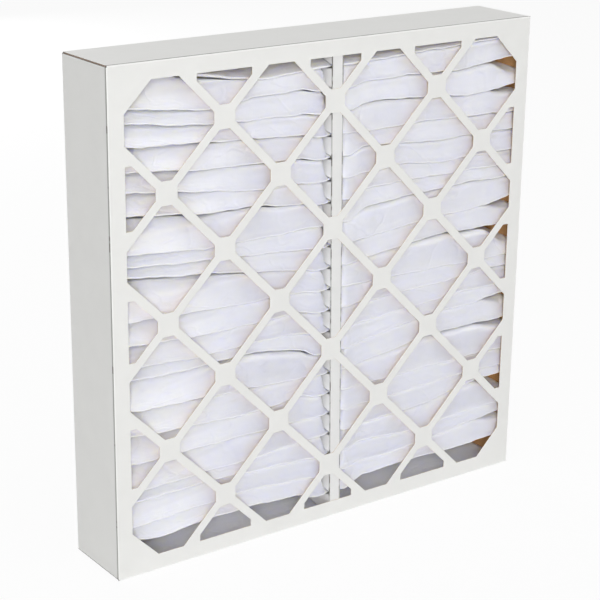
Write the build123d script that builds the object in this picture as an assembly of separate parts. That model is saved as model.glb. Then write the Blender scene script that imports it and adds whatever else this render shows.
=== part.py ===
from build123d import *
from collections import namedtuple
from math import ceil, floor, hypot, sqrt
import os

# Pleated panel air filter: a folded media pack held in a frame of two nested die-cut trays.
# Millimetres. +X to the right, +Y from the air-entering face to the air-leaving face, +Z up.
# The origin is the middle of the bottom edge, halfway through the depth.

# Overall size: 24 x 24 x 4 inch nominal, made 5/8 inch and 1/4 inch under
width = 593.7
height = 593.7
depth = 95.25

# Frame board, how it folds and how the layers are glued
board = 0.7
fold_radius = 0.9
glue_line = 0.1
corner_seam = 1.2

# Lattice of each grille
margin = 19.5
node_pitch = 75.4
strap_width = 10.0
pad_half = 13.8
edge_opening_half = 35.9

# Media sheet and its pleats
media_thickness = 2.0
pleat_pitch = 26.6
least_end_room = 22.0

# Toothed card strips
card = 0.5
strip_width = 16.0
strip_end_gap = 0.6
front_strip_shift = 6.7
front_strip_lean = 0.8
tooth_depth = 44.0
tooth_shoulder = 16.0
tooth_tip_half = 1.5
tooth_gap = 0.6

# Welded wire grid on the air-leaving side of the media
wire = 0.9
long_wire_pitch = 160.0
long_wire_inset = 30.0
cross_wires_per_panel = 2

# Nested sizes
nest_step = board + glue_line
inner_width = width - 2 * nest_step
inner_height = height - 2 * nest_step
clear_width = inner_width - 2 * board
clear_height = inner_height - 2 * board

# Layers through the depth: grille, strip and crest in front; crest, wire, strip and grille behind
strip_plane = depth / 2 - nest_step
crest_plane = strip_plane - card - glue_line
rear_nose_plane = crest_plane - wire - glue_line
front_fold_y = -crest_plane + media_thickness
rear_fold_y = rear_nose_plane - media_thickness
rear_lining = 2 * wire + glue_line
half_sheet = media_thickness / 2

Fold = namedtuple("Fold", "y z radius turn")
Run = namedtuple("Run", "start end normal")


def cell_steps(half_window):
    """Steps from the middle of the grille to every cell that can reach into the window."""
    last = ceil(half_window / node_pitch)
    return range(-last, last + 1)


def lattice_openings():
    """Every opening of one grille: diamonds between the straps, blunted by the pads and the margin.

    A cell whose middle lies under the margin is a half diamond with its two sharp ends cut short.
    A cell under the margin both ways is a closed corner gusset.
    """
    half_x, half_z = width / 2 - margin, height / 2 - margin
    reach = node_pitch - strap_width / sqrt(2)
    blunt = node_pitch - pad_half
    diamond = Polygon((reach, 0), (0, reach), (-reach, 0), (0, -reach), align=None)
    full = diamond & Rectangle(2 * blunt, 2 * blunt)
    flat = diamond & Rectangle(2 * edge_opening_half, 2 * blunt)
    upright = diamond & Rectangle(2 * blunt, 2 * edge_opening_half)
    window = Rectangle(2 * half_x, 2 * half_z)
    openings = []
    for i in cell_steps(half_x):
        for j in cell_steps(half_z):
            x, z = i * node_pitch, j * node_pitch
            past_x, past_z = abs(x) - half_x, abs(z) - half_z
            if (i + j) % 2 or (past_x > 0 and past_z > 0) or max(past_x, past_z) > blunt - strap_width:
                continue
            shape = upright if past_x > 0 else flat if past_z > 0 else full
            openings.append((Pos(x, z) * shape) & window)
    return Sketch() + openings


def folded_tray(tray_width, tray_height, tray_depth):
    """One die-cut board tray: a grille at y = 0 and four flanges folded back to y = tray_depth."""
    sheet = Box(tray_width, tray_depth, tray_height, align=(Align.CENTER, Align.MIN, Align.CENTER))
    sheet = fillet(sheet.faces().sort_by(Axis.Y)[0].edges(), fold_radius)
    hollow = Pos(0, board, 0) * Box(
        tray_width - 2 * board, tray_depth, tray_height - 2 * board,
        align=(Align.CENTER, Align.MIN, Align.CENTER))
    hollow = fillet(hollow.faces().sort_by(Axis.Y)[0].edges(), fold_radius - board)
    tray = sheet - hollow - extrude(Plane.XZ * lattice_openings(), amount=fold_radius + board, both=True)
    for x in (-tray_width / 2, tray_width / 2):
        for z in (-tray_height / 2, tray_height / 2):
            tray -= Pos(x, fold_radius, z) * Box(
                2 * corner_seam, tray_depth, 2 * corner_seam,
                align=(Align.CENTER, Align.MIN, Align.CENTER))
    return tray


def outer_tray():
    return Pos(0, -depth / 2, height / 2) * folded_tray(width, height, depth)


def inner_tray():
    tray = folded_tray(inner_width, inner_height, depth - nest_step)
    return Pos(0, depth / 2, height / 2) * Rot(0, 0, 180) * tray


def media_folds():
    """The folds of the media sheet from top to bottom, as the middle line passes them.

    Each fold is creased sharp inside and round outside. The end panels lie flat on the top and
    bottom walls and turn in at the rear corners.
    """
    crests = 1 + floor((clear_height - 2 * least_end_room) / pleat_pitch)
    first = height / 2 + (crests - 1) * pleat_pitch / 2
    wall_line = clear_height / 2 - glue_line - half_sheet
    corner = wall_line - half_sheet
    folds = [Fold(-crest_plane, height / 2 + wall_line, 0, 0),
             Fold(rear_fold_y, height / 2 + corner, half_sheet, -1)]
    for k in range(crests):
        z = first - k * pleat_pitch
        folds.append(Fold(front_fold_y, z, half_sheet, 1))
        if k < crests - 1:
            folds.append(Fold(rear_fold_y, z - pleat_pitch / 2, half_sheet, -1))
    folds.append(Fold(rear_fold_y, height / 2 - corner, half_sheet, -1))
    folds.append(Fold(-crest_plane, height / 2 - wall_line, 0, 0))
    return folds


def run_between(a, b):
    """The straight run tangent to two folds: its ends and its left-hand normal, as (y, z) pairs."""
    dy, dz = b.y - a.y, b.z - a.z
    side = b.turn * b.radius - a.turn * a.radius
    square = dy * dy + dz * dz
    length = sqrt(square - side * side)
    uy, uz = (length * dy + side * dz) / square, (length * dz - side * dy) / square
    normal = (-uz, uy)
    start = (a.y - a.turn * a.radius * normal[0], a.z - a.turn * a.radius * normal[1])
    end = (b.y - b.turn * b.radius * normal[0], b.z - b.turn * b.radius * normal[1])
    return Run(start, end, normal)


def shifted(point, normal, shift):
    return (point[0] + shift * normal[0], point[1] + shift * normal[1])


def height_on(run, shift, y):
    """The z at which a run, moved by shift along its normal, passes a given y."""
    start, normal = shifted(run.start, run.normal, shift), run.normal
    return start[1] - normal[0] * (y - start[0]) / normal[1]


def sheet_edge(folds, runs, shift):
    """One face line of the folded sheet: its straight runs, with an arc round each fold's outside."""
    edges = []
    for index, run in enumerate(runs):
        start, end = shifted(run.start, run.normal, shift), shifted(run.end, run.normal, shift)
        edges.append(Line(start, end))
        if index + 1 < len(runs) and folds[index + 1].turn * shift < 0:
            fold, following = folds[index + 1], runs[index + 1]
            radius = fold.radius - fold.turn * shift
            out_y = run.normal[0] + following.normal[0]
            out_z = run.normal[1] + following.normal[1]
            scale = -fold.turn * radius / hypot(out_y, out_z)
            middle = (fold.y + scale * out_y, fold.z + scale * out_z)
            edges.append(ThreePointArc(end, middle, shifted(following.start, following.normal, shift)))
    return edges


def filter_media(folds, runs):
    """The pleated nonwoven sheet, folded from one length and glued to the trays all round."""
    left, right = sheet_edge(folds, runs, half_sheet), sheet_edge(folds, runs, -half_sheet)
    ends = [Line(left[0] @ 0, right[0] @ 0), Line(left[-1] @ 1, right[-1] @ 1)]
    profile = make_face(left + right + ends)
    return extrude(Plane.YZ * profile, amount=clear_width / 2 - glue_line, both=True)


def tooth(upper, lower, shift, base_y, toward):
    """One tooth between two runs of the sheet, from the strip at base_y towards its blunt tip."""
    shoulder_y, tip_y = base_y + toward * tooth_shoulder, base_y + toward * tooth_depth
    tip_z = (height_on(upper, shift, tip_y) + height_on(lower, shift, tip_y)) / 2
    return Polygon(
        (base_y, height_on(lower, shift, base_y)),
        (shoulder_y, height_on(lower, shift, shoulder_y)),
        (tip_y, tip_z - tooth_tip_half),
        (tip_y, tip_z + tooth_tip_half),
        (shoulder_y, height_on(upper, shift, shoulder_y)),
        (base_y, height_on(upper, shift, base_y)),
        align=None)


def stabilizer(gaps, shift, base_y, toward):
    """A card strip at base_y with a tooth folded from each edge into every gap between pleats."""
    strip = Pos(0, base_y + toward * card / 2, height / 2) * Box(
        strip_width, card, clear_height - 2 * strip_end_gap)
    row = Sketch() + [tooth(upper, lower, shift, base_y, toward) for upper, lower in gaps]
    for x in (-(strip_width - card) / 2, (strip_width - card) / 2):
        strip += Pos(x, 0, 0) * extrude(Plane.YZ * row, amount=card / 2, both=True)
    return strip


def front_stabilizer(runs):
    """The strip behind the front grille, a little right of the middle and further right lower down."""
    gaps = list(zip(runs[0::2], runs[1::2]))
    strip = stabilizer(gaps, -(half_sheet + tooth_gap), -strip_plane, 1)
    lean = Pos(0, 0, height / 2) * Rot(0, -front_strip_lean, 0) * Pos(0, 0, -height / 2)
    return Pos(front_strip_shift, 0, 0) * lean * strip


def rear_stabilizer(runs):
    gaps = list(zip(runs[1::2], runs[2::2]))
    return stabilizer(gaps, half_sheet + rear_lining + tooth_gap, strip_plane, -1)


def long_wire_edge(folds, runs, shift):
    """Corner points of one side of a long wire: sharp in the front folds, blunt over the rear ones."""
    points = [shifted(runs[1].start, runs[1].normal, shift)]
    for index in range(1, len(runs) - 2):
        fold, run, following = folds[index + 1], runs[index], runs[index + 1]
        if fold.turn > 0:
            slope, next_slope = -run.normal[0] / run.normal[1], -following.normal[0] / following.normal[1]
            rise = height_on(following, shift, 0) - height_on(run, shift, 0)
            y = rise / (slope - next_slope)
            points.append((y, height_on(run, shift, y)))
        else:
            y = fold.y + fold.radius + shift
            points += [(y, height_on(run, shift, y)), (y, height_on(following, shift, y))]
    points.append(shifted(runs[-2].end, runs[-2].normal, shift))
    return points


def support_grid(folds, runs):
    """Long wires folded with the media and straight cross wires welded on them, all rear side."""
    near = half_sheet + glue_line
    outline = long_wire_edge(folds, runs, near) + long_wire_edge(folds, runs, near + wire)[::-1]
    long_wire = extrude(Plane.YZ * Polygon(*outline, align=None), amount=wire / 2, both=True)
    half_span = clear_width / 2 - long_wire_inset
    columns = 1 + floor(2 * half_span / long_wire_pitch)
    pieces = [Pos((c - (columns - 1) / 2) * long_wire_pitch, 0, 0) * long_wire for c in range(columns)]
    for run in runs[1:-1]:
        for step in range(cross_wires_per_panel):
            part = (step + 0.5) / cross_wires_per_panel
            middle = (run.start[0] + part * (run.end[0] - run.start[0]),
                      run.start[1] + part * (run.end[1] - run.start[1]))
            low, high = shifted(middle, run.normal, near + wire), shifted(middle, run.normal, near + 2 * wire)
            along = (run.normal[1] * wire / 2, -run.normal[0] * wire / 2)
            section = Polygon(
                (low[0] - along[0], low[1] - along[1]), (low[0] + along[0], low[1] + along[1]),
                (high[0] + along[0], high[1] + along[1]), (high[0] - along[0], high[1] - along[1]),
                align=None)
            pieces.append(extrude(Plane.YZ * section, amount=clear_width / 2 - 2 * glue_line, both=True))
    return Compound(children=pieces)


os.makedirs("parts", exist_ok=True)
folds = media_folds()
runs = [run_between(a, b) for a, b in zip(folds, folds[1:])]
nodes = {
    "outer_tray": outer_tray(),
    "inner_tray": inner_tray(),
    "filter_media": filter_media(folds, runs),
    "front_stabilizer": front_stabilizer(runs),
    "rear_stabilizer": rear_stabilizer(runs),
    "support_grid": support_grid(folds, runs),
}
for name, shape in nodes.items():
    export_step(shape, f"parts/{name}.step")
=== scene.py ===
import math

import bpy
import numpy as np
from mathutils import Matrix


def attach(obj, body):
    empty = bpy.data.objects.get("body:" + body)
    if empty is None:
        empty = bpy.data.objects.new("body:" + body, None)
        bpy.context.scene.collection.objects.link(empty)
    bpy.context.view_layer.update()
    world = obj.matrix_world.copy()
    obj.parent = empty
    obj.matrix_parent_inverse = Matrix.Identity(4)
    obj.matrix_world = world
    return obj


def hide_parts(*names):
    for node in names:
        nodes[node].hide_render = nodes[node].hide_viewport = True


# Pleated panel air filter: wavy nonwoven pleats and their welded wire backing, inside two nested
# board trays with lattice grilles. Metres. +X right, +Y from the air-entering face to the
# air-leaving face, +Z up, origin in the middle of the bottom edge.

WIDTH, HEIGHT, DEPTH = 0.5937, 0.5937, 0.09525
MIDDLE = HEIGHT / 2
NEST = 0.0008  # how far the inner tray's walls stand inside the outer one's

# The pleats as the trays hold them. AIR is what the sheet leaves to what it lies against.
CRESTS, PITCH = 21, 0.0266
FIRST_CREST = MIDDLE + (CRESTS - 1) * PITCH / 2
CREST_PLANE, REAR_PLANE = -0.046225, 0.045225
CLEAR, AIR = 0.5907, 0.0001
HALF_SHEET = 0.001
FOLD_RADIUS = HALF_SHEET + AIR
CREASE_RADIUS, CREASE_HALF = 0.0006, 0.00045
SHEET_EDGE = CLEAR / 2 - AIR
WALL_LINE = CLEAR / 2 - AIR - HALF_SHEET
REAR_CENTRE = REAR_PLANE - 2 * HALF_SHEET
LEAST_APART = 2.1 * HALF_SHEET  # between the middle lines of two faces that meet
FACE_DEPTH = 0.0895  # from a crest to its rear folds

# The front strip of card that holds the pleats apart
STRIP_X, STRIP_LEAN, STRIP_HALF = 0.0067, math.tan(math.radians(0.8)), 0.008

# How far each crest lies below its even place, in millimetres, at these x. Top crest first. The
# strip holds every crest in place between the two columns in the middle.
STATIONS = (-0.290, -0.240, -0.175, -0.105, -0.040, 0.060, 0.110, 0.160, 0.210, 0.250, 0.290)
CREST_SAG = (
    (-17, -16, -8, 4, 2, -1, -3, -5, -7, -8, -9),
    (-10, -5, 3, -3, -4, -4, -5, -3, -4, -9, -12),
    (-22, -15, -7, -4, -3, -6, -4, 0, 3, 1, -4),
    (-21, -18, -14, -9, -5, 2, 1, 1, 3, 4, 5),
    (-21, -17, -10, -7, -4, -7, -3, 0, 0, 0, 1),
    (-27, -20, -12, -3, -1, -2, -4, 1, 1, 0, 1),
    (-26, -21, -13, -11, -3, -9, -10, -9, -9, -8, -7),
    (-9, -5, 1, 1, 0, -13, -17, -18, -20, -19, -19),
    (-23, -17, -12, -7, -2, -2, -6, -9, -11, -14, -20),
    (-38, -30, -23, -13, -4, -4, -8, -13, -12, -11, -9),
    (-10, -9, -6, -4, -3, 1, 2, 3, 4, 5, 5),
    (-11, -7, -4, -4, -5, -1, -2, -3, -4, -8, -7),
    (-10, -8, -5, -7, -5, -2, -5, -8, -11, -10, -9),
    (-23, -20, -20, -21, -11, -5, -12, -18, -18, -21, -26),
    (-12, -9, -7, -4, -1, -4, -10, -16, -17, -16, -16),
    (-9, -5, -2, 0, -5, 0, 0, -1, -1, -1, 0),
    (-1, 1, 0, 0, 0, -1, -2, -4, -5, -5, -3),
    (8, 8, 6, 6, 1, -1, -3, -5, -14, -18, -19),
    (-7, -6, -7, -4, -1, -5, 0, 1, -4, -5, -5),
    (-2, -3, -6, -7, -2, -4, -3, -7, -12, -16, -19),
    (-14, -8, -12, -12, -8, -10, -12, -11, -10, -11, -13))

# How the crests leave their even lines: the height of the waves along them and along the rear
# folds, and how far the crests stand back from the grille, off the strip and at it
LONG_WAVE, SHORT_WAVE, REAR_WAVE = 0.0009, 0.00045, 0.0005
MOST_SLACK, SET_BACK, SET_BACK_WAVE, STRIP_DENT = 0.004, 0.0022, 0.0007, 0.0042

# What share of the gap's room a face moves by: the mean of each kind, its least and its most, and
# what the faces of the two end pleats that face a wall move by
UPPER_MOVE, UPPER_LEAST, UPPER_MOST = 1.01, 0.97, 1.035
LOWER_MOVE, LOWER_LEAST, LOWER_MOST = -0.085, -0.11, -0.065
TOP_LOWER_PART, WALL_MOVE, WALL_ROOM = 0.2, 0.02, 0.02

# Where a face begins to move and where it moves in full: from the front strip's middle line, from
# its crest inwards, and how much later that is at the left
STRIP_RAMP, CREST_RAMP, LATER_AT_LEFT = (0.0092, 0.0165), (-0.0012, 0.0096), 0.015

# How far open the gaps under some crests stay at the right wall, where the others swell nearly
# shut, and how far all gaps stay open at the left wall
OPEN_RIGHT = {1: 1.0, 2: 0.55, 8: 0.7, 9: 0.95, 13: 0.6, 14: 0.35, 17: 0.95, 19: 0.55}
OPEN_ELSEWHERE, OPEN_LEFT = 0.08, 0.15

# Where each run of the sheet bends, as shares of its length from its crest, and points per fold
RUN_SHARES = np.array([0.022, 0.046, 0.076, 0.115, 0.30])
FOLD_TURNS = 4

# The wire grid: radius of the wires, how many are folded with the sheet and how many run across
# each run, how many sides they have, how far their middle lies behind the sheet's, and how far
# to each side of the middle plane the folded ones stand and the others reach
WIRE = 0.00045
LONG_WIRES, CROSS_WIRES, WIRE_SIDES = 22, 3, 6
WIRE_LIFT = HALF_SHEET + 0.0003 + WIRE
LAST_LONG_WIRE, WIRE_END, CROSS_WIRE_POINTS = 0.273, 0.2935, 50

# Light: the white world's strength, and soft round lamps by name, place, aim, width and power
WORLD_LIGHT = 0.27
LAMPS = [("front_lamp", (-3.97, -5.47, 3.0), (0, 0, 0.3), 1.8, 151),
         ("low_lamp", (-3.6, -5.9, 0.72), (0, 0, 0.3), 1.2, 120),
         ("high_lamp", (-0.2, -0.9, 3.2), (0, 0, 0.3), 1.8, 30),
         ("back_lamp", (0.5, 3.6, 0.75), (0, 0, 0.3), 1.6, 60)]

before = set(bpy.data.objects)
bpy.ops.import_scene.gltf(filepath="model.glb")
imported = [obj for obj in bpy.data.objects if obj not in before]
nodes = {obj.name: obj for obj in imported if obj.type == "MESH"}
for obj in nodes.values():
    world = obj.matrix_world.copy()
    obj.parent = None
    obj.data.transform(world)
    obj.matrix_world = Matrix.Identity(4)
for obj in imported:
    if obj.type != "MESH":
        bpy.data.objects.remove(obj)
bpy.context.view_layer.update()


# ---------------------------------------------------------------- shapes on a grid

def ease(value, low, high):
    """Smooth step: 0 below low, 1 above high, with 3t^2 - 2t^3 between."""
    t = np.clip((value - low) / (high - low), 0, 1)
    return t * t * (3 - 2 * t)


def drift(rows, x, wavelengths, seed, kinship):
    """Soft random waves along x, one per row, from -1 to 1.

    The sum of one sine per wavelength. A row's phase is the row above's plus a random step, and
    kinship says how alike neighbouring rows are.
    """
    rng = np.random.default_rng(seed)
    total = np.zeros((rows, len(x)))
    for length in wavelengths:
        step = rng.normal(0, (1 - kinship) * math.pi, rows)
        phase = rng.uniform(0, 2 * math.pi) + np.cumsum(step)
        strength = rng.uniform(0.6, 1.0, rows)
        total += strength[:, None] * np.sin(2 * math.pi * x[None] / length + phase[:, None])
    return total / len(wavelengths)


def strip_middle(z):
    """Where the front strip's middle line is at height z: it leans to the right going down."""
    return STRIP_X - STRIP_LEAN * (z - MIDDLE)


def columns():
    """The x of the sheet's grid lines: close together near the walls and at the strip."""
    spans = [(-SHEET_EDGE, -0.245, 14), (-0.245, -0.03, 36), (-0.03, 0.045, 20),
             (0.045, 0.235, 34), (0.235, SHEET_EDGE, 20)]
    lines = [np.linspace(a, b, n, endpoint=False) for a, b, n in spans]
    return np.concatenate(lines + [[SHEET_EDGE]])


def through(stations, values, x):
    """Smooth curves through values at the stations: cubic between two stations, with the slope at
    each one taken from its neighbours."""
    stations, values = np.array(stations), np.array(values, float)
    slope = np.gradient(values, stations, axis=1)
    i = np.clip(np.searchsorted(stations, x) - 1, 0, len(stations) - 2)
    span = stations[i + 1] - stations[i]
    t = (x - stations[i]) / span
    return (values[:, i] * (1 + 2 * t) * (1 - t) ** 2 + slope[:, i] * span * t * (1 - t) ** 2
            + values[:, i + 1] * (3 - 2 * t) * t ** 2 - slope[:, i + 1] * span * (1 - t) * t ** 2)


def free_of_strips(x, z):
    """0 at both strips, where the sheet keeps its even pleats, and 1 from some 40 mm off them."""
    return ease(np.abs(x - strip_middle(z)), 0.014, 0.046) * ease(np.abs(x), 0.012, 0.042)


def fold_centres(x):
    """Centre (y, z) of each fold along x, with its turn: +1 at a crest, -1 at a rear fold, 0 at an end.

    Crests sag and rise between the strip and the walls as in CREST_SAG, with finer waves on top.
    Each rear fold keeps halfway between its two crests. A crest stands back from the grille as
    far as its two runs, which can't stretch, make it: where the pleats spread, the most. The
    strip dents it.
    """
    count = 2 * CRESTS + 3
    y, z, turn = np.zeros((count, len(x))), np.zeros((count, len(x))), np.zeros(count, int)
    even = FIRST_CREST - PITCH * np.arange(CRESTS)
    y[[0, -1]] = CREST_PLANE
    z[0], z[-1] = MIDDLE + WALL_LINE, MIDDLE - WALL_LINE
    y[[1, -2]] = REAR_CENTRE
    z[1], z[-2] = MIDDLE + WALL_LINE - FOLD_RADIUS, MIDDLE - WALL_LINE + FOLD_RADIUS
    turn[[1, -2]] = -1

    free = free_of_strips(x[None], even[:, None])
    waves = (LONG_WAVE * drift(CRESTS, x, (0.085, 0.052), 4, 0.2)
             + SHORT_WAVE * drift(CRESTS, x, (0.027, 0.017), 5, 0.0))
    crest = even[:, None] + (waves - 0.001 * through(STATIONS, CREST_SAG, x)) * free
    middle = (crest[:-1] + crest[1:]) / 2
    rear_free = free_of_strips(x[None], even[:-1, None])
    rear = middle + REAR_WAVE * drift(CRESTS - 1, x, (0.3, 0.14), 7, 0.5) * rear_free

    reach = REAR_PLANE - CREST_PLANE - 4 * HALF_SHEET
    rise = np.full((CRESTS, len(x)), PITCH / 2)
    rise[1:-1] = (crest[:-2] - crest[2:]) / 4
    slack = reach - np.sqrt(reach ** 2 + (PITCH / 2) ** 2 - rise ** 2)
    wavy = 1 + drift(CRESTS, x, (0.17, 0.06, 0.031), 6, 0.3)
    back = np.clip(slack, 0, MOST_SLACK) + SET_BACK * free + SET_BACK_WAVE * wavy * free
    off_strip = np.abs(x[None] - strip_middle(even)[:, None])
    dent = STRIP_DENT * (1 - ease(off_strip, 0.004, 0.017))
    z[2:-2:2] = crest
    y[2:-2:2] = CREST_PLANE + CREASE_RADIUS + CREASE_HALF + 2 * AIR + back + dent
    turn[2:-2:2] = 1
    z[3:-3:2] = rear
    y[3:-3:2] = REAR_CENTRE
    turn[3:-3:2] = -1
    return y, z, turn


def fold_radius(turn):
    """Radius of each fold's circle: small at a crest, which is pressed, and round at the rear."""
    return np.where(turn > 0, CREASE_RADIUS, np.where(turn < 0, -FOLD_RADIUS, 0))


def straight_runs(y, z, turn):
    """The run of sheet between each two folds: tangent to both fold circles, with its normal."""
    radius = fold_radius(turn)[:, None]
    dy, dz = np.diff(y, axis=0), np.diff(z, axis=0)
    side, square = np.diff(radius, axis=0), dy ** 2 + dz ** 2
    length = np.sqrt(square - side ** 2)
    uy, uz = (length * dy + side * dz) / square, (length * dz - side * dy) / square
    normal = np.stack([-uz, uy])
    centre = np.stack([y, z])
    start = centre[:, :-1] - radius[:-1] * normal
    end = centre[:, 1:] - radius[1:] * normal
    return start, end, normal


def shares(runs, from_crest):
    """Where along each run, from its start, the given shares of its length from its crest lie."""
    odd = np.arange(runs) % 2 == 1
    return np.where(odd[:, None], 1 - from_crest[::-1], from_crest)[:, :, None]


def billow(start, end, t, x):
    """How far each run leaves its straight line, towards the gap it faces, as [run, share, x].

    It is the room in the gap times a share. The upper face of each pleat moves by about all of
    the room from some 10 mm in from its crest, further in towards the left wall. The lower face is
    drawn up by a small share, which keeps the two apart. Waves, slanting and crumpled ones, vary
    both. At the walls the share shrinks, and the upper face then swells by what is left until the
    gap is shut, apart from the gaps that stay open. At the front strip the share is 0.
    """
    runs = start.shape[1]
    z_mid = (start[1] + end[1])[:, None] / 2
    free = ease(np.abs(x - strip_middle(z_mid)), *STRIP_RAMP)
    lower, upper = np.arange(2, runs - 2, 2), np.arange(3, runs - 1, 2)
    above = start[1][lower][:, None] * t[upper] + end[1][lower][:, None] * (1 - t[upper])
    here = start[1][upper][:, None] * (1 - t[upper]) + end[1][upper][:, None] * t[upper]
    room = np.full((runs, t.shape[1], len(x)), WALL_ROOM)
    room[upper] = np.maximum(above - here - LEAST_APART, 0)
    room[lower] = room[upper][:, ::-1]
    depth_in = FACE_DEPTH * np.where(np.arange(runs) % 2 == 1, 1 - t.T, t.T).T

    phase = np.random.default_rng(12).uniform(0, 1, (runs, 1, 1))
    slant = np.sin(2 * math.pi * (x[None, None] / 0.10 + t * 0.9 + phase))
    slant = slant * drift(runs, x, (0.23, 0.13), 13, 0.1)[:, None]
    soft = drift(runs, x, (0.16, 0.085), 11, 0.2)[:, None]
    crumple = drift(runs, x, (0.062, 0.035), 14, 0.0)[:, None] * np.cos(60 * depth_in + 6 * phase)
    share = np.clip(LOWER_MOVE + 0.015 * soft + 0.01 * slant + 0.01 * crumple, LOWER_LEAST, LOWER_MOST)
    plump = np.clip(UPPER_MOVE + 0.02 * soft + 0.015 * slant + 0.015 * crumple, UPPER_LEAST, UPPER_MOST)
    share[upper] = plump[upper]
    share[2] *= TOP_LOWER_PART
    share[[0, 1, -2, -1]] = WALL_MOVE
    full_at = CREST_RAMP[1] + LATER_AT_LEFT * (1 - ease(x, -0.27, -0.11))
    share *= ease(depth_in, CREST_RAMP[0], full_at)

    at_right = np.array([OPEN_RIGHT.get(gap, OPEN_ELSEWHERE) for gap in range(CRESTS - 1)])
    stay = np.where(x > 0, at_right[:, None, None], OPEN_LEFT)
    wall = ease(np.abs(x), 0.232 + 0.030 * stay, 0.2925)
    swell = np.zeros_like(room)
    swell[upper] = (1 - 0.8 * stay) * wall * ease(depth_in[upper], 0.0, 0.030 + 0.03 * stay)
    near_wall = np.ones_like(room) * ease(np.abs(x), 0.235, 0.285)
    near_wall[upper] *= stay
    near_wall[lower] = 0
    share = share * (1 - 0.7 * near_wall) * free
    ends_held = np.minimum(1, 12 * np.minimum(t, 1 - t))
    return np.minimum(share + swell * (1 - share) * ends_held, UPPER_MOST) * room


def sheet_lines(x, from_crest, turns):
    """Middle line of the folded sheet at each x, top to bottom, as points and normals [row, 2, x],
    and how deep each row lies: 0 at a crest, 1 at a rear fold.

    Each run gives its points at the given shares from its crest, and each fold an arc of turns
    points whose normal swings evenly from one run's to the next one's.
    """
    y, z, turn = fold_centres(x)
    start, end, normal = straight_runs(y, z, turn)
    t = shares(start.shape[1], from_crest)
    puff = billow(start, end, t, x)
    t = t[None]
    straight = start[:, :, None] * (1 - t) + end[:, :, None] * t
    points = straight - normal[:, :, None] * puff[None]
    angle = np.arctan2(normal[1], normal[0])
    swing = np.linspace(0, 1, turns)[None, :, None]
    bend = angle[:-1, None] * (1 - swing) + angle[1:, None] * swing
    bend_normal = np.stack([np.cos(bend), np.sin(bend)])
    centre = np.stack([y, z])[:, 1:-1, None]
    arcs = centre - fold_radius(turn)[None, 1:-1, None, None] * bend_normal
    flat_normal = np.broadcast_to(normal[:, :, None], points.shape)
    rows, normals, depths = [start[:, :1]], [normal[:, :1]], [[0.0]]
    for k in range(points.shape[1]):
        rows.append(points[:, k])
        normals.append(flat_normal[:, k])
        depths.append(1 - t[0, k, :, 0] if k % 2 else t[0, k, :, 0])
        if k < arcs.shape[1]:
            rows.append(arcs[:, k])
            normals.append(bend_normal[:, k])
            depths.append([0.0 if turn[k + 1] > 0 else 1.0] * turns)
    rows.append(end[:, -1:])
    normals.append(normal[:, -1:])
    depths.append([0.0])
    return np.concatenate(rows, axis=1), np.concatenate(normals, axis=1), np.concatenate(depths)


def new_piece(name, vertices, faces, node, material):
    """A smooth mesh object at the origin that rides on the frame and stands for one of its nodes."""
    mesh = bpy.data.meshes.new(name)
    mesh.from_pydata(vertices, [], faces)
    mesh.validate()
    mesh.shade_smooth()
    piece = bpy.data.objects.new(name, mesh)
    bpy.context.scene.collection.objects.link(piece)
    piece.data.materials.append(material)
    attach(piece, "root")
    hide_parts(node)
    return piece


def ring_faces(rows, across):
    """Quads of a rows by across grid of vertices numbered row by row, its last row joined to its first."""
    r, c = np.meshgrid(np.arange(rows), np.arange(across - 1), indexing="ij")
    below = (r + 1) % rows
    quads = [r * across + c, r * across + c + 1, below * across + c + 1, below * across + c]
    return np.stack(quads, -1).reshape(-1, 4)


def pleated_media(material):
    """The folded sheet as a closed skin, joined round all four edges.

    Its front and rear faces lie half a thickness either side of the middle line along the normal.
    That half grows from CREASE_HALF at a crest, which is pressed, to HALF_SHEET within 5 % of the
    way to the rear fold.
    """
    x = columns()
    points, normals, depth = sheet_lines(x, RUN_SHARES, FOLD_TURNS)
    half = CREASE_HALF + (HALF_SHEET - CREASE_HALF) * ease(depth, 0.0, 0.05)[None, :, None]
    rows, across = points.shape[1], len(x)
    ring = np.concatenate([points - half * normals, (points + half * normals)[:, ::-1]], axis=1)
    vertices = np.empty((2 * rows, across, 3))
    vertices[..., 0] = x
    vertices[..., 1:] = ring.transpose(1, 2, 0)
    faces = ring_faces(2 * rows, across)[:, ::-1]
    r = np.arange(rows - 1)
    front, rear = r * across, (2 * rows - 1 - r) * across
    left = np.stack([rear, rear - across, front + across, front], -1)
    right = left[:, ::-1] + across - 1
    piece = new_piece("pleated_media", vertices.reshape(-1, 3).tolist(),
                      np.concatenate([faces, left, right]).tolist(), "filter_media", material)

    length = np.concatenate([[0], np.cumsum(np.hypot(*np.diff(points.mean(2), axis=1)))])
    flat = np.empty((2 * rows, across, 2))
    flat[..., 0] = x + SHEET_EDGE
    flat[..., 1] = np.concatenate([length, length[::-1]])[:, None]
    corners = np.empty(len(piece.data.loops), int)
    piece.data.loops.foreach_get("vertex_index", corners)
    uv = piece.data.uv_layers.new(name="cut_sheet")
    uv.data.foreach_set("uv", flat.reshape(-1, 2)[corners].astype(np.float32).ravel())
    layer = piece.data.attributes.new("depth_in_pleat", "FLOAT", "POINT")
    both_faces = np.repeat(np.concatenate([depth, depth[::-1]]), across)
    layer.data.foreach_set("value", both_faces.astype(np.float32))
    return piece


def tube(path, across, sides=WIRE_SIDES):
    """The rings of a round wire carried along path, as [ring, side, xyz].

    Each ring is a circle of WIRE radius round its point, in the plane of across and of the cross
    product of across and the path's direction.
    """
    ahead = np.gradient(path, axis=0)
    ahead /= np.linalg.norm(ahead, axis=1, keepdims=True)
    up = np.cross(ahead, across)
    up /= np.linalg.norm(up, axis=1, keepdims=True)
    turn = np.linspace(0, 2 * math.pi, sides, endpoint=False)[None, :, None]
    return path[:, None] + WIRE * (np.cos(turn) * across + np.sin(turn) * up[:, None])


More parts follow.
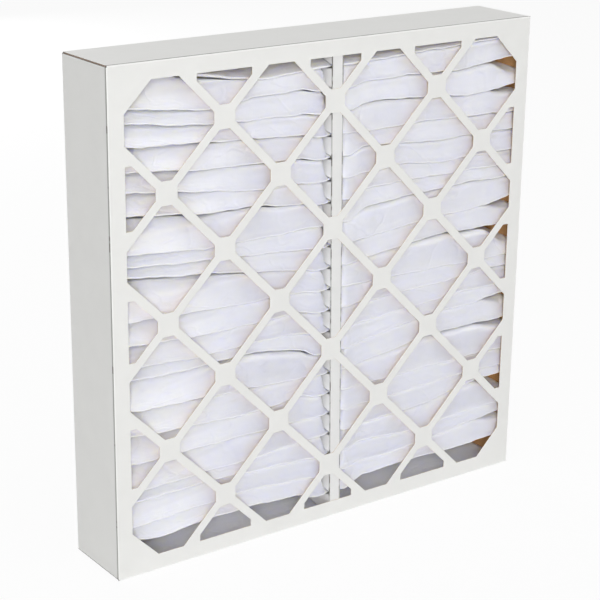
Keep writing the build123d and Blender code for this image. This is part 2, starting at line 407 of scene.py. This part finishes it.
def rod_faces(rings, first, sides=WIRE_SIDES):
    """Side quads and end caps of a wire whose vertices run ring by ring from first."""
    r, s = np.meshgrid(np.arange(rings - 1), np.arange(sides), indexing="ij")
    t = (s + 1) % sides
    quads = [r * sides + s, r * sides + t, (r + 1) * sides + t, (r + 1) * sides + s]
    quads = np.stack(quads, -1).reshape(-1, 4) + first
    start_cap = list(range(first + sides - 1, first - 1, -1))
    end_cap = list(range(first + (rings - 1) * sides, first + rings * sides))
    return quads.tolist() + [start_cap, end_cap]


def long_wire_lines(x):
    """Middle lines (y, z) of the wires that are folded with the sheet, as [2, point, x].

    They lie a set lift behind the sheet's middle line, along each run and round each rear fold.
    At a crest, where the sheet turns over them, they come to a point. It lies behind the fold's
    centre by the lift less the crest's radius, divided by the y part of the run's normal.
    """
    y, z, turn = fold_centres(x)
    start, end, normal = straight_runs(y, z, turn)
    t = shares(start.shape[1], RUN_SHARES)
    line = start[:, :, None] * (1 - t) + end[:, :, None] * t
    line = line + (WIRE_LIFT - billow(start, end, t, x)) * normal[:, :, None]
    path = []
    last = start.shape[1] - 2
    for k in range(1, last + 1):
        path.append(line[:, k])
        centre = np.stack([y[k + 1], z[k + 1]])[:, None]
        if k < last and turn[k + 1] > 0:
            centre[0] += (WIRE_LIFT - CREASE_RADIUS) / normal[0, k]
            path.append(centre)
        elif k < last:
            angles = np.arctan2(normal[1, k:k + 2], normal[0, k:k + 2])
            swing = np.linspace(0, 1, FOLD_TURNS)[:, None]
            bend = angles[0] * (1 - swing) + angles[1] * swing
            path.append(centre + (FOLD_RADIUS + WIRE_LIFT) * np.stack([np.cos(bend), np.sin(bend)]))
    return np.concatenate(path, axis=1)


def cross_wire_lines(x):
    """Middle lines (y, z) of the wires along x, as [2, run, wire, x], and each run's normal.

    They lie behind the long ones. Where the sheet bulges they follow its straight flank: the bulge
    at the last bend of the run, shrinking evenly to 0 at the rear fold.
    """
    y, z, turn = fold_centres(x)
    start, end, normal = straight_runs(y, z, turn)
    t = shares(start.shape[1], np.linspace(0.33, 0.82, CROSS_WIRES))
    inward = np.where(np.arange(start.shape[1])[:, None, None] % 2 == 1, 1 - t, t)
    bulge = billow(start, end, shares(start.shape[1], RUN_SHARES[-1:]), x)
    out = WIRE_LIFT + 1.7 * WIRE - bulge * (1 - inward) / (1 - RUN_SHARES[-1])
    return start[:, :, None] * (1 - t) + end[:, :, None] * t + out * normal[:, :, None], normal


def welded_grid(material):
    """Round galvanized wires on the rear face of the sheet: long ones folded with it from rear to
    crest and back, and others welded across them on every run. They swell where the sheet does."""
    vertices, faces = [], []

    def add(path, across):
        """Adds one wire along path."""
        faces.extend(rod_faces(len(path), sum(map(len, vertices))))
        vertices.append(tube(path, across).reshape(-1, 3))

    x = np.linspace(-LAST_LONG_WIRE, LAST_LONG_WIRE, LONG_WIRES)
    lines = long_wire_lines(x)
    for c in range(LONG_WIRES):
        add(np.column_stack([np.full(lines.shape[1], x[c]), lines[0, :, c], lines[1, :, c]]),
            np.array([1.0, 0, 0]))

    x = np.linspace(-WIRE_END, WIRE_END, CROSS_WIRE_POINTS)
    lines, normal = cross_wire_lines(x)
    for k in range(1, normal.shape[1] - 1):
        for n in range(CROSS_WIRES):
            add(np.column_stack([x, lines[0, k, n], lines[1, k, n]]), np.array([0, *normal[:, k].mean(1)]))
    return new_piece("welded_grid", np.concatenate(vertices).tolist(), faces,
                     "support_grid", material)


# ---------------------------------------------------------------- finishes

# Colours
BOARD_WHITES = (0.775, 0.775, 0.755), (0.825, 0.825, 0.805)
# The darkest of these is painted shade along the grille's creases, and the palest is a painted highlight
# beside them
BOARD_SPECK, BOARD_CREASE_SHADE, BOARD_FOLD_HIGHLIGHT = (0.55, 0.50, 0.42), (0.16, 0.15, 0.14), (0.90, 0.90, 0.885)
BOARD_SEAM = (0.045, 0.04, 0.035)
KRAFT_FIBRES = (0.56, 0.28, 0.09), (0.68, 0.38, 0.16)
KRAFT_CLOUD, KRAFT_EDGE = (0.72, 0.43, 0.20), (0.06, 0.05, 0.04)
# The teeth's paler white is painted light that lifts their shade
CARD_WHITES, CARD_TEETH_PAINTED_LIGHT = ((0.74, 0.74, 0.735), (0.80, 0.80, 0.79)), (0.87, 0.87, 0.865)
# A painted shade along the strip's folded edges
CARD_FOLD_SHADE = (0.13, 0.12, 0.11)
MEDIA_CLOUDS, MEDIA_FELT = ((0.925, 0.932, 0.985), (0.965, 0.970, 0.996)), (0.966, 0.970, 0.994)
# A painted highlight on the crests
MEDIA_CREST_HIGHLIGHT = (0.975, 0.978, 0.990)
ZINC = (0.50, 0.51, 0.53), (0.70, 0.71, 0.72)
FLOOR_GREY = 0.88

COAT = 0.00045  # how far inside a tray's outer box its white coat goes
TEETH_Y, FACE_Y = 0.0450, 0.0462  # |y| that a strip's teeth stay under, and that its face is over
SEEN_WHITE = 0.93  # how much of the floor's own look plain white takes the place of, where it is seen


class Field:
    """A number that varies over a surface. Arithmetic on it adds Math nodes to its material."""

    def __init__(self, tree, socket):
        self.tree, self.socket = tree, socket

    def maths(self, operation, *values):
        """The result of one Math node on the values."""
        node = self.tree.nodes.new("ShaderNodeMath")
        node.operation = operation
        for place, value in zip(node.inputs, values):
            if isinstance(value, Field):
                self.tree.links.new(value.socket, place)
            else:
                place.default_value = value
        return Field(self.tree, node.outputs[0])

    def __add__(self, other): return self.maths("ADD", self, other)
    def __radd__(self, other): return self.maths("ADD", other, self)
    def __sub__(self, other): return self.maths("SUBTRACT", self, other)
    def __rsub__(self, other): return self.maths("SUBTRACT", other, self)
    def __mul__(self, other): return self.maths("MULTIPLY", self, other)
    def __rmul__(self, other): return self.maths("MULTIPLY", other, self)
    def __abs__(self): return self.maths("ABSOLUTE", self)
    def below(self, limit): return self.maths("LESS_THAN", self, limit)
    def above(self, limit): return self.maths("GREATER_THAN", self, limit)
    def least(self, other): return self.maths("MINIMUM", self, other)
    def most(self, other): return self.maths("MAXIMUM", self, other)


class Finish:
    """A material: its shader, and the nodes that drive it."""

    def __init__(self, name, roughness, **constants):
        self.material = bpy.data.materials.new(name)
        self.material.use_nodes = True
        self.tree = self.material.node_tree
        self.shader = self.tree.nodes["Principled BSDF"]
        self.shader.inputs["Roughness"].default_value = roughness
        for socket, value in constants.items():
            self.shader.inputs[socket.replace("_", " ")].default_value = value

    def node(self, kind, settings=(), **sockets):
        """A new node with these settings, each named socket (_0 is the first) set or linked."""
        node = self.tree.nodes.new(kind)
        for name, value in dict(settings).items():
            setattr(node, name, value)
        for name, value in sockets.items():
            place = node.inputs[0 if name == "_0" else name.replace("_", " ")]
            if isinstance(value, Field):
                self.tree.links.new(value.socket, place)
            elif isinstance(value, bpy.types.NodeSocket):
                self.tree.links.new(value, place)
            else:
                place.default_value = value
        return node

    def place(self):
        """Object coordinates as a vector socket and as three numbers."""
        vector = self.node("ShaderNodeTexCoord").outputs["Object"]
        split = self.node("ShaderNodeSeparateXYZ", Vector=vector)
        return vector, *(Field(self.tree, s) for s in split.outputs)

    def noise(self, vector, scale, detail=2.0, roughness=0.5, stretch=(1, 1, 1)):
        """Soft noise from 0 to 1, with scale in cycles per metre, times stretch along each axis."""
        mapped = self.node("ShaderNodeMapping", Vector=vector, Scale=[scale * s for s in stretch])
        made = self.node("ShaderNodeTexNoise", Vector=mapped.outputs[0], Scale=1.0, Detail=detail,
                         Roughness=roughness)
        return Field(self.tree, made.outputs[0])

    def smooth(self, value, low, high):
        """0 below low and 1 above high, smooth between."""
        made = self.node("ShaderNodeMapRange", {"interpolation_type": "SMOOTHSTEP"}, Value=value)
        for name, number in (("From Min", low), ("From Max", high), ("To Min", 0), ("To Max", 1)):
            made.inputs[name].default_value = number
        return Field(self.tree, made.outputs[0])

    def mix(self, share, first, second):
        """Colour between first, at 0, and second, at 1."""
        made = self.node("ShaderNodeMix", {"data_type": "RGBA"}, _0=share)
        for place, value in zip([s for s in made.inputs if s.type == "RGBA"], (first, second)):
            if isinstance(value, bpy.types.NodeSocket):
                self.tree.links.new(value, place)
            else:
                place.default_value = (*value, 1)
        return next(s for s in made.outputs if s.type == "RGBA")

    def relief(self, height, distance, strength):
        """Bumps the surface by height times distance, in metres."""
        made = self.node("ShaderNodeBump", Height=height, Strength=strength, Distance=distance)
        self.tree.links.new(made.outputs["Normal"], self.shader.inputs["Normal"])

    def drive(self, socket, value):
        """Links value to a socket of the shader."""
        source = value.socket if isinstance(value, Field) else value
        self.tree.links.new(source, self.shader.inputs[socket])


def board_finish(name, width, height, face_y, backwards):
    """Coated white board outside and brown kraft inside, for a tray whose grille lies at face_y.

    in_x, in_y and in_z say how far inside the tray's outer box a point lies. The coat is what lies
    less than COAT inside it. Walls carry painted shade along the grille's folds, from 0.3 to 4 mm
    behind the face: 0.58, plus 0.20 where it is cloudy, 0.20 on the top and bottom and 0.40 in short
    slits. The face has a painted highlight 1.6 mm wide along them. The seams at the four corners are
    dark.
    """
    made = Finish(name, 0.5)
    vector, x, y, z = made.place()
    in_x, in_z = width / 2 - abs(x), height / 2 - abs(z - MIDDLE)
    in_y = (face_y - y) if backwards else (y - face_y)
    side = in_x.least(in_z)
    coat = side.least(in_y).below(COAT)
    cloudy = made.noise(vector, 38, 3.0)
    specks = made.noise(vector, 900, 2.0)
    fibres = made.noise(vector, 420, 3.0, stretch=(1, 1, 0.25))
    white = made.mix(cloudy, *BOARD_WHITES)
    white = made.mix(made.smooth(specks, 0.70, 0.80) * 0.18, white, BOARD_SPECK)

    crease = side.below(COAT) * made.smooth(in_y, 0.0003, 0.0006)
    crease = crease * (1 - made.smooth(in_y, 0.0026, 0.0040))
    slit = made.smooth(made.noise(vector, 60, 2.0, stretch=(1, 0.05, 1)), 0.62, 0.66)
    top = in_z.below(COAT)
    # Painted shade of the creases, stronger on the top and bottom and in the slits
    painted_crease_shade = crease * (0.58 + 0.20 * cloudy + 0.20 * top + 0.40 * slit).least(1.0)
    white = made.mix(painted_crease_shade, white, BOARD_CREASE_SHADE)
    # A painted highlight along the face's folded edges
    painted_fold_highlight = side.below(0.0016) * in_y.below(0.0008)
    white = made.mix(painted_fold_highlight * 0.5, white, BOARD_FOLD_HIGHLIGHT)
    seam = in_x.below(0.0005) * in_z.below(0.0019) + in_z.below(0.0005) * in_x.below(0.0009)
    white = made.mix(seam.least(1.0) * (0.75 + 0.25 * cloudy), white, BOARD_SEAM)

    kraft = made.mix(fibres, *KRAFT_FIBRES)
    kraft = made.mix(made.smooth(cloudy, 0.35, 0.7) * 0.35, kraft, KRAFT_CLOUD)
    edge = in_x.below(0.0012) * in_z.below(0.0012)
    kraft = made.mix(edge * 0.8, kraft, KRAFT_EDGE)
    made.drive("Base Color", made.mix(coat, kraft, white))
    made.drive("Roughness", 0.82 - coat * (0.36 - 0.10 * cloudy))
    buckled = made.noise(vector, 26, 2.0)
    made.relief(buckled + fibres * 0.06 + (1 - coat) * fibres * 0.12, 0.00035, 0.6)
    return made.material


def card_finish(name, middle, lean):
    """Thin coated white card, for a strip whose middle line leans through x = middle at MIDDLE.

    Its teeth are painted a little paler, as painted light in their shade. On its face a painted
    shade of the folds runs within 1.1 mm of each edge, strong by 0.45 and in places by up to 0.95.
    """
    made = Finish(name, 0.55)
    vector, x, y, z = made.place()
    off = abs(x - middle + (z - MIDDLE) * lean)
    cloudy = made.noise(vector, 55, 3.0)
    white = made.mix(cloudy, *CARD_WHITES)
    # The teeth are painted paler: painted light in their shade
    white = made.mix(abs(y).below(TEETH_Y), white, CARD_TEETH_PAINTED_LIGHT)
    # Painted shade along the strip's folds
    painted_fold_shade = off.above(STRIP_HALF - 0.0011) * abs(y).above(FACE_Y)
    uneven = made.smooth(made.noise(vector, 70, 2.0, stretch=(0.1, 0.1, 1)), 0.45, 0.6)
    white = made.mix(painted_fold_shade * (0.45 + 0.5 * uneven), white, CARD_FOLD_SHADE)
    made.drive("Base Color", white)
    made.drive("Roughness", 0.5 + 0.12 * cloudy)
    made.relief(made.noise(vector, 40, 2.0) + made.noise(vector, 500, 2.0) * 0.05, 0.00025, 0.6)
    return made.material


def media_finish():
    """White nonwoven with a faint cool tint, lit through, on the flat sheet's own coordinates.

    Its colour is cloudy, a quarter of the way to the felt's in its short laid fibres, and 0.7 of
    the way to a painted highlight's white at a crest. Soft wrinkles, fine lines where a broad noise
    crosses its middle, and felt bump it.
    """
    made = Finish("nonwoven_media", 0.93, Subsurface_Weight=0.85, Subsurface_Scale=0.0028,
                  Subsurface_Radius=(1.15, 1.1, 0.7), Sheen_Weight=0.06, Sheen_Roughness=0.6)
    cloth = made.node("ShaderNodeUVMap", {"uv_map": "cut_sheet"}).outputs[0]
    cloudy = made.noise(cloth, 22, 4.0, 0.55)
    felt = made.noise(cloth, 700, 3.0, 0.6, stretch=(1, 0.35, 1))
    wrinkle = made.noise(cloth, 34, 3.0, 0.55, stretch=(0.5, 1.2, 1))
    layer = made.node("ShaderNodeAttribute", {"attribute_name": "depth_in_pleat"})
    depth = Field(made.tree, layer.outputs["Fac"])
    tint = made.mix(cloudy, *MEDIA_CLOUDS)
    tint = made.mix(made.smooth(felt, 0.3, 0.75) * 0.25, tint, MEDIA_FELT)
    # Painted highlight on the crests
    tint = made.mix((1 - made.smooth(depth, 0.004, 0.03)) * 0.7, tint, MEDIA_CREST_HIGHLIGHT)
    made.drive("Base Color", tint)
    made.drive("Roughness", 0.88 + 0.1 * felt)
    broad = made.noise(cloth, 17, 2.0, 0.5, stretch=(0.8, 1.3, 1))
    crease = made.smooth(abs(broad - 0.5), 0.0, 0.035)
    made.relief(wrinkle + crease * 0.12 + felt * 0.04, 0.0028, 0.7)
    return made.material


def wire_finish():
    """Galvanized drawn wire: zinc from dull to bright in patches, rougher where it is brighter."""
    made = Finish("galvanized_wire", 0.4, Metallic=1.0)
    vector = made.place()[0]
    patches = made.noise(vector, 180, 3.0)
    made.drive("Base Color", made.mix(patches, *ZINC))
    made.drive("Roughness", 0.3 + 0.25 * patches)
    made.relief(made.noise(vector, 1500, 2.0), 0.00005, 0.4)
    return made.material


# ---------------------------------------------------------------- light, floor and camera

def seen_directly(tree):
    """1 on what the camera sees straight, in a reflection or through glass, and 0 on other rays."""
    path = tree.nodes.new("ShaderNodeLightPath")
    seen = Field(tree, path.outputs["Is Camera Ray"]).most(Field(tree, path.outputs["Is Glossy Ray"]))
    return seen.most(Field(tree, path.outputs["Is Transmission Ray"]))


def pale_floor(far=30.0):
    """A grey floor out to the horizon. Where it is seen, SEEN_WHITE of it is plain white, and the
    rest keeps the filter's shadow."""
    mesh = bpy.data.meshes.new("pale_floor")
    corners = [(-far, -far), (far, -far), (far, far), (-far, far)]
    mesh.from_pydata([(x, y, -0.0002) for x, y in corners], [], [(0, 1, 2, 3)])
    floor = bpy.data.objects.new("pale_floor", mesh)
    bpy.context.scene.collection.objects.link(floor)
    made = Finish("pale_floor", 0.9)
    made.shader.inputs["Base Color"].default_value = (FLOOR_GREY, FLOOR_GREY, FLOOR_GREY, 1)
    glow = made.tree.nodes.new("ShaderNodeEmission")
    glow.inputs["Strength"].default_value = 1.0
    blend = made.tree.nodes.new("ShaderNodeMixShader")
    made.tree.links.new((seen_directly(made.tree) * SEEN_WHITE).socket, blend.inputs[0])
    made.tree.links.new(made.shader.outputs[0], blend.inputs[1])
    made.tree.links.new(glow.outputs[0], blend.inputs[2])
    made.tree.links.new(blend.outputs[0], made.tree.nodes["Material Output"].inputs["Surface"])
    mesh.materials.append(made.material)


def white_world():
    """A white world: WORLD_LIGHT strong as light, and 1 where it is seen."""
    world = bpy.data.worlds.new("studio")
    bpy.context.scene.world = world
    world.use_nodes = True
    tree = world.node_tree
    back = tree.nodes["Background"]
    strength = WORLD_LIGHT + seen_directly(tree) * (1 - WORLD_LIGHT)
    tree.links.new(strength.socket, back.inputs["Strength"])
    back.inputs["Color"].default_value = (1, 1, 1, 1)


def soft_lamp(name, spot, aim, size, power):
    """A round area lamp at spot that shines towards aim."""
    light = bpy.data.lights.new(name, "AREA")
    light.shape, light.size, light.energy = "DISK", size, power
    lamp = bpy.data.objects.new(name, light)
    bpy.context.scene.collection.objects.link(lamp)
    lamp.location = spot
    back = np.array(spot, float) - np.array(aim, float)
    side = np.cross((0, 0, 1), back)
    side /= np.linalg.norm(side)
    back /= np.linalg.norm(back)
    up = np.cross(back, side)
    lamp.matrix_world = Matrix([[side[i], up[i], back[i], spot[i]] for i in range(3)] + [[0, 0, 0, 1]])


def camera():
    """The photograph's view: from the left and above, with a long lens."""
    data = bpy.data.cameras.new("photo_camera")
    data.lens, data.sensor_width = 102.026, 36.0
    eye = bpy.data.objects.new("photo_camera", data)
    bpy.context.scene.collection.objects.link(eye)
    right, up = (0.811477, -0.58426, 0.012047), (0.179134, 0.268315, 0.946529)
    back = (-0.556252, -0.765929, 0.322392)
    spot = (-1.151409, -1.569066, 0.932334)
    eye.matrix_world = Matrix([[right[i], up[i], back[i], spot[i]] for i in range(3)] + [[0, 0, 0, 1]])
    bpy.context.scene.camera = eye


def dress(node, material):
    """Gives a CAD node a finish in place of what it came with."""
    nodes[node].data.materials.clear()
    nodes[node].data.materials.append(material)


bpy.context.scene.view_settings.view_transform = "Standard"
pale_floor()
white_world()
for lamp in LAMPS:
    soft_lamp(*lamp)
camera()
inner = 2 * NEST
dress("outer_tray", board_finish("outer_board", WIDTH, HEIGHT, -DEPTH / 2, False))
dress("inner_tray", board_finish("inner_board", WIDTH - inner, HEIGHT - inner, DEPTH / 2, True))
dress("front_stabilizer", card_finish("front_card", STRIP_X, STRIP_LEAN))
dress("rear_stabilizer", card_finish("rear_card", 0.0, 0.0))
pleated_media(media_finish())
welded_grid(wire_finish())
